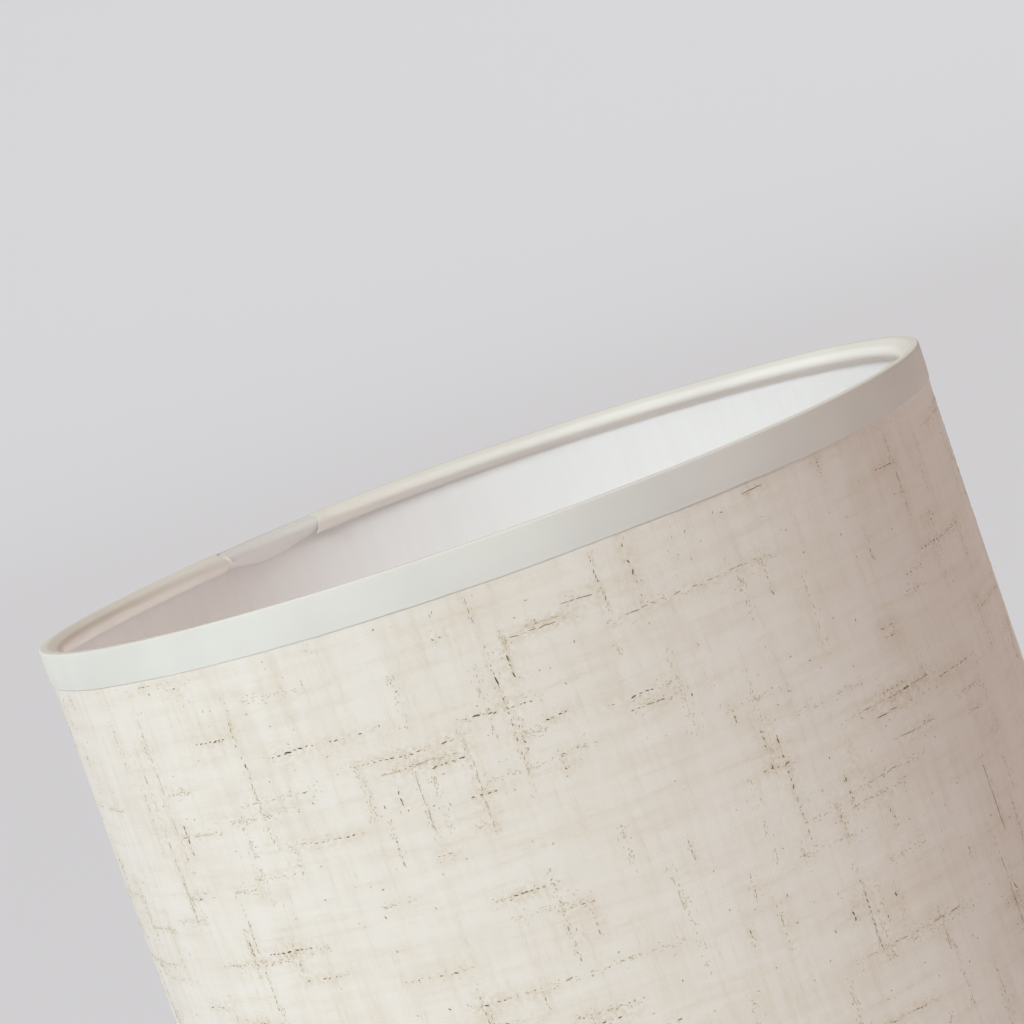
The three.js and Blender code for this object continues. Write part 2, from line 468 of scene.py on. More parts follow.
def linen_material(settings):
    """Plain-weave linen. Each yarn has a number, the whole part of its place over the pitch; its
    colour drifts slowly along it, and its height is a half sine across it that rises where it
    passes over the other way's yarns and falls where it passes under them."""
    n = Nodes("slubbed_linen")
    along, up = cloth_places(n)
    pitch = settings.pitch / MM
    wander = n.noise(n.point(along, up), 0.11, 2.0)
    shift = n.math("MULTIPLY", n.math("SUBTRACT", wander, 0.5), 1.6 * pitch)
    warp = n.math("DIVIDE", n.math("ADD", along, shift), pitch)
    weft = n.math("DIVIDE", n.math("ADD", up, shift), pitch)
    warp_number, weft_number = n.math("FLOOR", warp), n.math("FLOOR", weft)

    def streak(x, y, x_rate, y_rate, seed, detail=2.0):
        """A noise stretched one way or the other by its two rates."""
        place = n.point(n.math("MULTIPLY", x, x_rate), n.math("MULTIPLY", y, y_rate), seed)
        return n.noise(place, 1.0, detail)

    # Slow drift of colour along single yarns, along bands of yarns and in patches, each way.
    weft_streak = streak(along, weft_number, 0.06, 7.3, 0.0, 3.0)
    warp_streak = streak(warp_number, up, 7.3, 0.06, 31.0, 3.0)
    weft_band = streak(along, up, 0.045, 0.42, 5.0)
    warp_band = streak(along, up, 0.42, 0.045, 9.0)
    parts = (
        (weft_streak, 0.30),
        (warp_streak, 0.25),
        (weft_band, 0.9),
        (warp_band, 0.8),
        (streak(along, up, 0.035, 0.11, 13.0), 1.0),
        (streak(along, up, 0.11, 0.035, 19.0), 0.9),
    )
    total = 0.0
    for value, weight in parts:
        total = n.math("ADD", n.math("MULTIPLY", n.math("SUBTRACT", value, 0.5), weight), total)
    body = n.mix(n.ramp(total, -0.40, 0.60), settings.pale, settings.warm)

    # Ochre smudges: short soft strokes along some stretches of yarn, each way, and patchy
    # stains round the runs of straw, from the cloth's own tone.
    def strokes(short, yarn, band):
        """Short strokes, kept only where the yarn and its band are both strong."""
        strong = n.ramp(n.math("ADD", yarn, band), 1.02, 1.28)
        return n.math("MULTIPLY", n.ramp(short, 0.42, 0.66), strong)

    weft_strokes = strokes(streak(along, up, 0.5, 2.4, 23.0), weft_streak, weft_band)
    warp_strokes = strokes(streak(along, up, 2.4, 0.5, 29.0), warp_streak, warp_band)
    smudge = n.math("MULTIPLY", n.math("MAXIMUM", weft_strokes, warp_strokes), 0.3)
    patchy = n.ramp(n.noise(n.point(along, up, 41.0), 0.9, 3.0, 0.6), 0.36, 0.62)
    stain = n.math("MULTIPLY", n.math("MULTIPLY", n.own("tone"), patchy), 0.45)
    smudge = n.math("MINIMUM", n.math("ADD", smudge, stain), 0.6)
    body = n.mix(smudge, body, settings.ochre)

    # The weave's relief, with slubs where yarns are strong and fuzz all over.
    def crossing(across, other, offset):
        """The height of one way's yarn: half a sine across, times a rise over every other yarn."""
        hump = n.math("SINE", n.math("MULTIPLY", n.math("FRACT", across), math.pi))
        steps = n.math("ADD", other, n.math("ADD", n.math("FLOOR", across), offset))
        rise = n.math("MULTIPLY", n.math("COSINE", n.math("MULTIPLY", steps, math.pi)), 0.3)
        return n.math("MULTIPLY", hump, n.math("ADD", rise, 0.7))

    height = n.math("MAXIMUM", crossing(warp, weft, 0.5), crossing(weft, warp, 1.5))
    slub = n.math("ADD", n.ramp(weft_streak, 0.5, 0.75), n.ramp(warp_streak, 0.5, 0.75))
    height = n.math("ADD", height, n.math("MULTIPLY", slub, 0.5))
    fuzz = n.noise(n.point(along, up, 3.0), 2.2, 3.0, 0.7)
    height = n.math("ADD", height, n.math("MULTIPLY", fuzz, 0.8))
    n.bump(height, 0.05 * MM, 0.5)

    # Painted shade: the hollows between the yarns are tinted a little darker and warmer.
    painted_hollow_shade = n.math("MULTIPLY", n.ramp(height, 1.6, 0.3), 0.22)
    body = n.mix(painted_hollow_shade, body, settings.warm)
    return n.set(
        Base_Color=body,
        Roughness=0.9,
        Specular_IOR_Level=0.2,
        Subsurface_Weight=0.35,
        Subsurface_Scale=1.0 * MM,
        Subsurface_Radius=(1.0, 0.85, 0.7),
        Sheen_Weight=0.2,
        Sheen_Roughness=0.5,
    )


def fleck_material(settings):
    """Bits of flax straw: dark at a tone of 0, light at 1 and the ochre of stained yarn at 2."""
    n = Nodes("flax_straw")
    tone = n.own("tone")
    body = n.mix(n.ramp(tone, 0.0, 1.0), settings.fleck_dark, settings.fleck_light)
    body = n.mix(n.ramp(tone, 1.0, 2.0), body, settings.ochre)
    return n.set(Base_Color=body, Roughness=0.85, Specular_IOR_Level=0.2)


def tape_material(settings):
    """Close-woven tape: a fine grain of bump and a faint drift of tone."""
    n = Nodes("rim_tape")
    place = n.here()
    drift = n.noise(place, 35.0, 2.0)
    grain = n.noise(place, 2600.0, 2.0, 0.6)
    body = n.toned(n.ramp(drift, 0.3, 0.7), settings.tint, 0.93)
    n.bump(grain, 0.03 * MM, 0.5)
    return n.set(
        Base_Color=body,
        Roughness=0.9,
        Specular_IOR_Level=0.12,
        Subsurface_Weight=0.2,
        Subsurface_Scale=0.3 * MM,
        Subsurface_Radius=(1.0, 0.8, 0.6),
    )


def strip_material(settings):
    """The thin smooth layer under the join of the tape."""
    n = Nodes("join_strip")
    place = n.here()
    grain = n.noise(place, 900.0, 2.0, 0.6)
    n.bump(grain, 0.02 * MM, 0.4)
    body = n.toned(n.ramp(grain, 0.3, 0.7), settings.strip_tint, 0.97)
    return n.set(Base_Color=body, Roughness=0.6, Specular_IOR_Level=0.3)


def liner_material(settings):
    """Smooth plastic sheet with faint upright streaks painted on it: the shadows of the linen's
    slubs that show through the sheet.
    """
    n = Nodes("white_sheet")
    along, up = cloth_places(n)
    place = n.point(n.math("MULTIPLY", along, 0.35), n.math("MULTIPLY", up, 0.02))
    streak = n.noise(place, 1.0, 3.0)
    # Painted shadow: the streaks darken the sheet faintly where the linen's slubs show through it.
    body = n.toned(n.ramp(streak, 0.35, 0.7), settings.liner_tint, 0.98)
    n.bump(streak, 0.015 * MM, 0.4)
    return n.set(
        Base_Color=body,
        Roughness=0.5,
        Specular_IOR_Level=0.4,
        Subsurface_Weight=0.35,
        Subsurface_Scale=1.0 * MM,
        Subsurface_Radius=(1.0, 0.9, 0.82),
    )


def paint_material(settings):
    """White powder coat with a slight orange peel."""
    n = Nodes("powder_coat")
    place = n.here()
    peel = n.noise(place, 900.0, 2.0)
    tone = n.noise(place, 60.0, 2.0)
    n.bump(peel, 0.04 * MM, 0.6)
    rough = n.math("ADD", n.math("MULTIPLY", tone, 0.12), 0.30)
    return n.set(Base_Color=n.toned(tone, settings.paint, 0.95), Roughness=rough)


# The linen --------------------------------------------------------------------------------------


def linen_radius(turn_from_seam, turn, height, settings):
    """The outer radius of the linen: the drum's own, plus a slow ripple that dies out at the rims,
    plus one thickness where the end laps over the beginning."""
    lap_turn = settings.lap / COVER_RADIUS
    ramp_turn = 3.5 * MM / COVER_RADIUS
    raised = smooth_step((turn_from_seam - (TURN - ramp_turn)) / ramp_turn)
    edge = np.minimum(height - COVER_BOX[0].z, COVER_BOX[1].z - height)
    quiet = smooth_step(edge / (15 * MM))
    seam_calm = smooth_step(np.abs(signed_turn(turn, JOIN)) / (3 * lap_turn))
    ripple = settings.ripple * slow_wave(turn, height, 3) * quiet * seam_calm
    return COVER_RADIUS + ripple + raised * settings.thickness


def linen_face(turn, height, settings):
    """The radius of the linen's outer face at any turn, on top of the lap where there is one."""
    lap_turn = settings.lap / COVER_RADIUS
    from_seam = (turn - JOIN + lap_turn / 2) % TURN
    from_seam = np.where(from_seam < lap_turn, from_seam + TURN, from_seam)
    return linen_radius(from_seam, turn, height, settings)


def stain_at(settings, turn, height):
    """How stained the cloth is at each place: a sum over the runs of straw of exp(-x^2) across
    the run, x being the distance over 1.8 mm, times exp(-y^4) along it, y being the distance
    from its middle over six tenths of its reach and 1 mm; darker runs stain more."""
    total = np.zeros(np.broadcast(turn, height).shape)
    for upright in (False, True):
        rng = np.random.default_rng(settings.seed + upright)
        for run_turn, run_height, reach, own in zip(*straw_runs(settings, upright, rng)[1]):
            round_way = signed_turn(turn, run_turn) * COVER_RADIUS
            up_way = height - run_height
            along, across = (up_way, round_way) if upright else (round_way, up_way)
            lengthwise = np.exp(-(((along - reach / 2) / (0.6 * reach + 1 * MM)) ** 4))
            total += (1.2 - own) * lengthwise * np.exp(-((across / (1.8 * MM)) ** 2))
    return total


class SHADE_OT_linen(Operator):
    """Wraps the linen once round the drum and laps its end over its beginning"""

    bl_idname = "shade.linen"
    bl_label = "Linen cover"

    def execute(self, context):
        settings = context.scene.shade_linen
        lap_turn = settings.lap / COVER_RADIUS
        start = JOIN - lap_turn / 2
        travel = np.linspace(0, TURN + lap_turn, 330)[:, None]
        height = np.linspace(COVER_BOX[0].z, COVER_BOX[1].z, 146)[None, :]
        radius = linen_radius(travel, start + travel, height, settings)
        points = round_drum(start + travel, radius, height)
        verts, faces = shell(points, settings.thickness)
        uv = np.stack(np.broadcast_arrays(travel * COVER_RADIUS, height), -1).reshape(-1, 2)
        stain = stain_at(settings, start + travel, height).ravel()
        cover = piece(
            "linen_sheet",
            verts,
            faces,
            linen_material(settings),
            ["linen_cover"],
            uv=np.vstack([uv, uv]),
            tone=np.concatenate([stain, stain]),
        )
        return {"FINISHED"}


def straw(places, radius, sides, proud):
    """Small lenses lying on the drum, one for each place given: a rim of points and two tips. A
    point at (along, across, up) on a lens lies at turn + along / radius and height + across,
    turned by the lens's heading, and lifted off the cloth by up."""
    turn, height, half_length, half_width, heading = places[:5]
    corner = np.arange(sides) * TURN / sides
    outline = np.vstack([np.stack([np.cos(corner), np.sin(corner)], -1), np.zeros((2, 2))])
    rise = np.array([0.0] * sides + [1.0, -1.0])
    along = half_length[:, None] * outline[:, 0]
    across = half_width[:, None] * outline[:, 1]
    cos, sin = np.cos(heading)[:, None], np.sin(heading)[:, None]
    round_way = along * cos - across * sin
    up_way = along * sin + across * cos
    lifted = radius[:, None] + (half_width * proud)[:, None] * rise
    points = round_drum(turn[:, None] + round_way / COVER_RADIUS, lifted, height[:, None] + up_way)
    this = np.arange(sides)
    onward = (this + 1) % sides
    top = np.stack([this, onward, np.full(sides, sides)], -1)
    under = np.stack([onward, this, np.full(sides, sides + 1)], -1)
    faces = np.vstack([top, under])[None] + (np.arange(len(turn)) * (sides + 2))[:, None, None]
    return points.reshape(-1, 3), faces.reshape(-1, 3)


def straw_runs(settings, upright, rng):
    """Places of the broken threads that run one way. A run is a row of bits about two pitches
    apart, or of longer bits close together, that wanders a little to the side; some bits of it
    are missing, and its tone is its own."""
    count, most = settings.runs, 18
    turn = rng.uniform(0, TURN, (count, 1))
    height = rng.uniform(STRAW_LOW, STRAW_HIGH, (count, 1))
    number = np.minimum(2 + rng.geometric(0.16, (count, 1)), most)
    hair = rng.random((count, 1)) < 0.3
    step = np.arange(most)[None, :]
    gap = settings.pitch * np.where(hair, 2.2, rng.uniform(1.1, 2.0, (count, 1)))
    reach = step * gap + rng.normal(0, 0.2 * MM, (count, most))
    sway = np.cumsum(rng.normal(0, 0.09 * MM, (count, most)), axis=1)
    present = (step < number) & (rng.random((count, most)) > 0.25)
    own = rng.beta(1.5, 1.7, (count, 1))
    tone = np.clip(own + rng.normal(0, 0.2, (count, most)), 0, 1)
    size = rng.uniform(0.7, 1.2, (count, 1)) * rng.lognormal(-0.1, 0.35, (count, most))
    half_length = np.where(hair, 0.95, 0.40) * MM * size
    half_width = np.where(hair, 0.07, rng.uniform(0.09, 0.15, (count, 1))) * MM * size**0.5
    heading = rng.normal(0, np.where(hair, 0.07, 0.25), (count, most))
    if upright:
        turn, height, heading = turn + sway / COVER_RADIUS, height + reach, heading + math.pi / 2
    else:
        turn, height = turn + reach / COVER_RADIUS, height + sway
    present &= (height > STRAW_LOW) & (height < STRAW_HIGH)
    places = np.broadcast_arrays(turn, height, half_length, half_width, heading, tone)
    starts = (turn[:, 0], height[:, 0], number[:, 0] * gap[:, 0], own[:, 0])
    return [values[present] for values in places], starts


def straw_dust(settings, upright, starts, rng):
    """Places of the palest bits: two in three gather along the runs, the rest lie in short rows
    of their own, and all lie within about half a millimetre of their row's line."""
    count = settings.dust
    loose = count // 90
    middle_turn = np.concatenate([starts[0], rng.uniform(0, TURN, loose)])
    middle_height = np.concatenate([starts[1], rng.uniform(STRAW_LOW, STRAW_HIGH, loose)])
    reach = np.concatenate([starts[2], rng.uniform(4 * MM, 16 * MM, loose)])
    weight = np.concatenate([(0.3 + starts[3]) * starts[2], np.full(loose, 16 * MM)])
    chosen = rng.choice(len(weight), count, p=weight / weight.sum())
    along = rng.uniform(-0.15, 1.15, count) * reach[chosen]
    tone = rng.uniform(0.5, 2.1, count)
    pale = np.maximum(tone - 1, 0)
    across = rng.normal(0, 0.5 * MM, count) * rng.uniform(0.2, 1.3, count) * (1 + pale)
    heading = rng.normal(0, 0.35, count)
    if upright:
        turn = middle_turn[chosen] + across / COVER_RADIUS
        height = middle_height[chosen] + along
        heading += math.pi / 2
    else:
        turn = middle_turn[chosen] + along / COVER_RADIUS
        height = middle_height[chosen] + across
    half_length = rng.uniform(0.10, 0.36, count) * MM * (1 + 0.9 * pale)
    half_width = rng.uniform(0.06, 0.13, count) * MM
    inside = (height > STRAW_LOW) & (height < STRAW_HIGH)
    return [x[inside] for x in (turn, height, half_length, half_width, heading, tone)]


def lone_straw(settings, upright, rng):
    """Places of the bits that lie alone, about half of them dark."""
    count = settings.specks // 2
    return [
        rng.uniform(0, TURN, count),
        rng.uniform(STRAW_LOW, STRAW_HIGH, count),
        rng.uniform(0.12, 0.40, count) * MM,
        rng.uniform(0.07, 0.15, count) * MM,
        rng.normal(0, 0.35, count) + (math.pi / 2 if upright else 0),
        rng.beta(2.0, 1.0, count),
    ]


class SHADE_OT_flecks(Operator):
    """Lays the brown bits of flax straw that show between the yarns of the linen"""

    bl_idname = "shade.flecks"
    bl_label = "Flax flecks"

    def execute(self, context):
        settings = context.scene.shade_linen
        material = fleck_material(settings)
        for way, upright in (("weft", False), ("warp", True)):
            rng = np.random.default_rng(settings.seed + upright)
            runs, starts = straw_runs(settings, upright, rng)
            lone = lone_straw(settings, upright, rng)
            flecks = [np.concatenate(pair) for pair in zip(runs, lone)]
            dust = straw_dust(settings, upright, starts, rng)
            for name, places, sides in ((f"{way}_flecks", flecks, 6), (f"{way}_dust", dust, 4)):
                radius = linen_face(places[0], places[1], settings)
                points, faces = straw(places, radius, sides, 0.5)
                tone = np.repeat(places[5], sides + 2)
                piece(name, points, faces, material, (), tone=tone, sharp=120)
        return {"FINISHED"}


# The liner --------------------------------------------------------------------------------------


class SHADE_OT_liner(Operator):
    """Rolls the plastic sheet to a drum inside the linen"""

    bl_idname = "shade.liner"
    bl_label = "Liner"

    def execute(self, context):
        settings = context.scene.shade_frame
        outer = LINER_BOX[1].x
        lap_turn = 8 * MM / outer
        travel = np.linspace(0, TURN, 420, endpoint=False)[:, None]
        height = np.linspace(LINER_BOX[0].z, LINER_BOX[1].z, 40)[None, :]
        lapped = smooth_step((travel - TURN + 1.5 * lap_turn) / (0.5 * lap_turn))
        radius = outer + 0.05 * MM * slow_wave(JOIN + travel, height, 11)
        points = round_drum(JOIN + travel, radius, height)
        thickness = settings.liner_thickness + lapped * 0.12 * MM
        verts, faces = shell(points, thickness, wrap=True)
        uv = np.stack(np.broadcast_arrays(travel * outer, height), -1).reshape(-1, 2)
        piece(
            "liner_sheet",
            verts,
            faces,
            liner_material(settings),
            ["liner"],
            uv=np.vstack([uv, uv]),
        )
        return {"FINISHED"}


# The rims ---------------------------------------------------------------------------------------


def wire_centre(context):
    """(radius, depth below the rim) of the rim wire's centre: against the liner, a little below
    the edge of the sheets."""
    frame_settings, tape = context.scene.shade_frame, context.scene.shade_tape
    inner_face = LINER_BOX[1].x - frame_settings.liner_thickness
    gap = 0.1 * MM
    return inner_face - frame_settings.wire - gap, frame_settings.wire + tape.thickness + tape.drop


def meeting_angle(centre, reach, edge):
    """The angle round the wire at which a straight line from the edge of the sheets meets it:
    the angle of the edge as seen from the centre, plus arccos(reach / distance)."""
    out, up = edge[0] - centre[0], centre[1] - edge[1]
    return math.atan2(up, out) + math.acos(reach / math.hypot(out, up))


def rim_section(context, stand_off):
    """The tape's outer face as (radius, depth) for each turn, the tape's thickness along it, and
    the number of points before the sloping, rolled and tucked part. It goes up the outer leg,
    round the edge of the sheets, straight to the wire, round the wire by an arc, and down to the
    liner by a quarter sine. The arc and the fall stand off by the amount given for each turn."""
    tape = context.scene.shade_tape
    centre_r, centre_d = wire_centre(context)
    reach = context.scene.shade_frame.wire + tape.thickness
    leg_r = COVER_RADIUS + tape.thickness
    corner = 0.45 * MM

    share = np.linspace(0, 1, 9)
    pressed = 0.18 * MM * smooth_step(1 - share * 3)
    leg = np.stack([leg_r - pressed, tape.leg + (corner - tape.leg) * share], -1)
    edge = circle((leg_r - corner, corner), corner, 0, -math.pi / 2, 6)[1:]
    lip = np.array([LINER_BOX[1].x - 0.6 * MM, 0.05 * MM])
    over = np.linspace(0, 1, 4)[1:, None]
    flat = np.vstack([leg, edge, edge[-1] + (lip - edge[-1]) * over])

    meeting = meeting_angle((centre_r, centre_d), reach, lip)
    touch = np.array([centre_r + reach * math.cos(meeting), centre_d - reach * math.sin(meeting)])
    lead = np.vstack([flat, lip + (touch - lip) * over[:-1]])
    lead = np.broadcast_to(lead, (len(stand_off), *lead.shape))

    leaving = math.radians(232)
    bend = np.linspace(meeting, leaving, 15)
    distance = reach + stand_off[:, None] * smooth_step((bend - meeting) / 1.2)
    roll = [centre_r + distance * np.cos(bend), centre_d - distance * np.sin(bend)]
    roll = np.stack(roll, -1)
    liner_r = LINER_BOX[1].x - context.scene.shade_frame.liner_thickness
    end_r = liner_r - 0.7 * tape.thickness - 1.3 * stand_off[:, None]
    share = np.linspace(0, 1, 7)[1:]
    fall_r = roll[:, -1:, 0] + (end_r - roll[:, -1:, 0]) * np.sin(share * math.pi / 2)
    fall_d = roll[:, -1:, 1] + (tape.tuck - roll[:, -1:, 1]) * share
    section = np.concatenate([lead, roll, np.stack([fall_r, fall_d], -1)], axis=1)

    column = np.arange(section.shape[1])
    thin = np.maximum(smooth_step(1 - column / 3), smooth_step((column - len(column) + 4) / 3))
    return section, tape.thickness * (1 - 0.45 * thin), len(flat)


def place_at_rim(points_r_d, turn, upper):
    """Points of a section, with a turn for each of them or for each row. At the lower rim the
    heights are mirrored, and the order of the section is reversed so that its faces still point
    out."""
    depth = points_r_d[..., 1]
    height = HEIGHT - depth if upper else depth
    points = round_drum(turn, points_r_d[..., 0], height)
    return points if upper else points[:, ::-1]


def fold_tape(context, upper):
    """One rim's tape. Its leg bulges over the linen's lap, its edges waver, its folded edge dips
    at the join, and its two inner ends are cut at a slant and stand off a little."""
    tape = context.scene.shade_tape
    linen = context.scene.shade_linen
    close = tape.join_half + np.radians(np.linspace(-0.3, 1.5, 19))
    turn = np.linspace(0, TURN, 720, endpoint=False)
    turn = np.unique(np.concatenate([turn, JOIN + close, JOIN - close]))
    from_join = signed_turn(turn, JOIN)
    beyond = np.abs(from_join) - tape.join_half
    past_end = np.maximum(beyond, 0)
    near_end = np.exp(-((past_end / math.radians(1.8)) ** 2))
    lip = np.exp(-((past_end / math.radians(0.17)) ** 2))
    stand_off = tape.flare * np.where(from_join > 0, lip, near_end)
    section, thickness, flat_count = rim_section(context, stand_off)
    depth = section[..., 1].copy()
    column = np.arange(section.shape[1])
    inner = column >= flat_count

    # The leg over the linen's lap.
    soft = math.radians(2.5)
    over_lap = smooth_step((linen.lap / COVER_RADIUS / 2 + soft - np.abs(from_join)) / soft)
    leg_share = np.clip((section[..., 0] - COVER_RADIUS) / (0.2 * MM), 0, 1)
    section[..., 0] += (over_lap * linen.thickness)[:, None] * leg_share

    # The wavering edges, and the slow swelling of the roll.
    waver = 0.13 * MM * slow_wave(turn * 3, 0.0, 21 + upper)
    waver += 0.05 * MM * slow_wave(turn * 17, 0.0, 25 + upper)
    section[..., 1] += waver[:, None] * smooth_step(depth / tape.leg - 0.3)
    swell = 0.07 * MM * slow_wave(turn * 4, 0.0, 31 + upper)
    section[:, inner, 0] -= swell[:, None] * smooth_step(3 - depth[:, inner] / MM)

    # The dip along the bare stretch, where the cut edge is pared thin, as the ends are.
    sunk = smooth_step((math.radians(1.2) - beyond) / math.radians(2.4))[:, None]
    section[..., 1] += tape.sink * sunk * smooth_step(1 - depth / (2.5 * MM)) * ~inner
    by_cut = smooth_step((column - flat_count + 4) / 3) * ~inner
    pared = np.where(from_join < 0, near_end, lip)[:, None] * inner
    thickness = thickness * (1 - 0.75 * sunk * by_cut) * (1 - 0.7 * pared)

    # The slanted ends.
    along_roll = np.clip(column - flat_count, 0, 14) / 7 - 1
    slant = np.where(from_join > 0, math.radians(-0.7), math.radians(0.3))
    shift = (slant * near_end)[:, None] * along_roll * inner
    points = place_at_rim(section, turn[:, None] + shift, upper)

    # The inner side is left out along the bare stretch and, below, where the arms come in.
    middle = turn + (np.roll(turn, -1) - turn) % TURN / 2
    bare = np.abs(signed_turn(middle, JOIN)) < tape.join_half
    if not upper:
        for arm in ARMS:
            bare |= np.abs(signed_turn(middle, arm)) < math.radians(1.75)
    keep = ~(bare[:, None] & inner[None, 1:])
    if not upper:
        keep, thickness = keep[:, ::-1], thickness[:, ::-1]
    verts, faces = shell(points, thickness, wrap=True, keep=keep)
    rim = "upper" if upper else "lower"
    material = bpy.data.materials["rim_tape"]
    made = piece(f"{rim}_tape", verts, faces, material, [f"{rim}_rim_tape"])


def lay_join_strip(context, upper):
    """The strip under the bare stretch: from the folded edge to the wire, round it, and down to
    the liner, a little slack in the middle and tight at both ends."""
    tape = context.scene.shade_tape
    centre_r, centre_d = wire_centre(context)
    half = tape.join_half + math.radians(1.6)
    turn = np.linspace(JOIN - half, JOIN + half, 90)
    face = context.scene.shade_frame.wire + 0.32 * MM
    foot_r = LINER_BOX[1].x - context.scene.shade_frame.liner_thickness - 0.06 * MM
    lip = np.array([LINER_BOX[1].x - 0.55 * MM, 0.12 * MM])
    meeting = meeting_angle((centre_r, centre_d), face, lip)

    def section_to(last_angle, landing, foot_depth, haste):
        """From the edge of the sheets to the wire, round it to the last angle, then a smooth fall
        to the liner at the landing and on down it to the foot."""
        bend = np.linspace(meeting, math.radians(last_angle), 18)
        roll = np.stack([centre_r + face * np.cos(bend), centre_d - face * np.sin(bend)], -1)
        start = lip + (roll[0] - lip) * np.linspace(0, 1, 4)[:-1, None]
        share = np.linspace(0, 1, 18)[1:, None]
        down = smooth_step(share * haste)
        target = np.hstack([np.full_like(share, foot_r), landing + (foot_depth - landing) * share])
        straight = roll[-1] + (target - roll[-1]) * share
        return np.vstack([start, roll, straight * (1 - down) + target * down])

    slack = section_to(218, tape.strip_foot - 1.0 * MM, tape.strip_foot, 1.5)
    tight = section_to(250, tape.tuck - 0.8 * MM, tape.tuck - 0.1 * MM, 4.0)
    side = np.abs(turn - JOIN)[:, None] / half
    hug = smooth_step((side - 0.1) / 0.75)[..., None]
    section = slack * (1 - hug) + tight * hug
    section[..., 1] += tape.sink * smooth_step(1 - section[..., 1] / (2.5 * MM))
    points = place_at_rim(section, turn[:, None], upper)
    columns = np.linspace(0, 1, section.shape[1])[None, :]
    thinned = np.maximum(smooth_step((columns - 0.5) / 0.4), smooth_step((side - 0.75) / 0.2))
    thickness = (0.3 - 0.27 * thinned) * MM
    thickness = thickness if upper else thickness[:, ::-1]
    verts, faces = shell(points, thickness)
    rim = "upper" if upper else "lower"
    material = bpy.data.materials["join_strip"]
    made = piece(f"{rim}_join", verts, faces, material, [f"{rim}_join_strip"])


class SHADE_OT_rims(Operator):
    """Folds the tape round both rims and lays the strip under each join"""

    bl_idname = "shade.rims"
    bl_label = "Rim tapes"

    def execute(self, context):
        tape_material(context.scene.shade_tape)
        strip_material(context.scene.shade_tape)
        for upper in (True, False):
            fold_tape(context, upper)
            lay_join_strip(context, upper)
        return {"FINISHED"}


class SHADE_OT_wires(Operator):
    """Bends the two rim wires"""

    bl_idname = "shade.wires"
    bl_label = "Rim wires"

    def execute(self, context):
        settings = context.scene.shade_frame
        material = paint_material(settings)
        radius, depth = wire_centre(context)
        for name, height in (("upper_rim_wire", HEIGHT - depth), ("lower_rim_wire", depth)):
            outline = circle((radius, height), settings.wire, 0, TURN, 20, endpoint=False)
            points, faces = swept_ring(outline, 180)
            label = name.replace("rim_wire", "wire")
            piece(label, points, faces, material, [name])
        return {"FINISHED"}


# The fitter -------------------------------------------------------------------------------------


def washer_outline(inner, outer, low, high, rounding):
    """A rectangle with a quarter circle at each corner."""
    corners = (
        (outer - rounding, low + rounding),
        (outer - rounding, high - rounding),
        (inner + rounding, high - rounding),
        (inner + rounding, low + rounding),
    )
    quarter = math.pi / 2
    return np.vstack(
        [circle(at, rounding, (i - 1) * quarter, quarter, 5) for i, at in enumerate(corners)]
    )


def arm_path(turn, foot, tip, level, start_height):
    """The line of one arm, outwards to inwards: straight up its slope, round a bend drawn as a
    quadratic curve, and level to the fitter ring."""
    knee = tip + 8 * MM
    slope = np.array([foot - knee, start_height - level])
    slope /= np.linalg.norm(slope)
    bend_start = np.array([knee, level]) + slope * 7 * MM
    bend_end = np.array([knee - 7 * MM, level])
    share = np.linspace(0, 1, 14)[:, None]
    straight = np.array([foot, start_height]) + (bend_start - [foot, start_height]) * share
    middle = np.array([knee, level])
    bend = (1 - share) ** 2 * bend_start + 2 * share * (1 - share) * middle + share**2 * bend_end
    line = np.vstack([straight, bend[1:], [[tip, level]]])
    return round_drum(turn, line[:, 0], line[:, 1])


class SHADE_OT_fitter(Operator):
    """Makes the fitter ring, its three arms and their welds"""

    bl_idname = "shade.fitter"
    bl_label = "Fitter"

    def execute(self, context):
        settings = context.scene.shade_frame
        material = bpy.data.materials["powder_coat"]
        outer = FITTER_BOX[1].x
        inner = outer - 8 * MM
        low, high = FITTER_BOX[0].z, FITTER_BOX[1].z
        level = (low + high) / 2
        outline = washer_outline(inner, outer, low, high, 0.25 * MM)
        points, faces = swept_ring(outline, 160)
        piece("fitter_washer", points, faces, material, ["fitter_ring"])
        radius, depth = wire_centre(context)
        foot, tip = radius - settings.wire * 0.7, outer - 0.2 * MM
        beads = []
        for i, turn in enumerate(ARMS):
            path = arm_path(turn, foot, tip, level, depth)
            points, faces = rod(path, settings.wire)
            piece(f"arm_{i + 1}", points, faces, material, [f"fitter_arm_{i + 1}"])
            outward = (math.cos(turn), math.sin(turn), 0.0)
            wire_spot = round_drum(turn, radius - settings.wire * 1.05, depth + 0.2 * MM)
            ring_spot = round_drum(turn, outer + 0.4 * MM, level)
            beads.append(bead(wire_spot, outward, (1.1 * MM, 1.9 * MM, 1.5 * MM)))
            beads.append(bead(ring_spot, outward, (1.7 * MM, 1.8 * MM, 1.25 * MM)))
        points, faces = joined(beads)
        piece("arm_welds", points, faces, material, (), sharp=80)
        return {"FINISHED"}


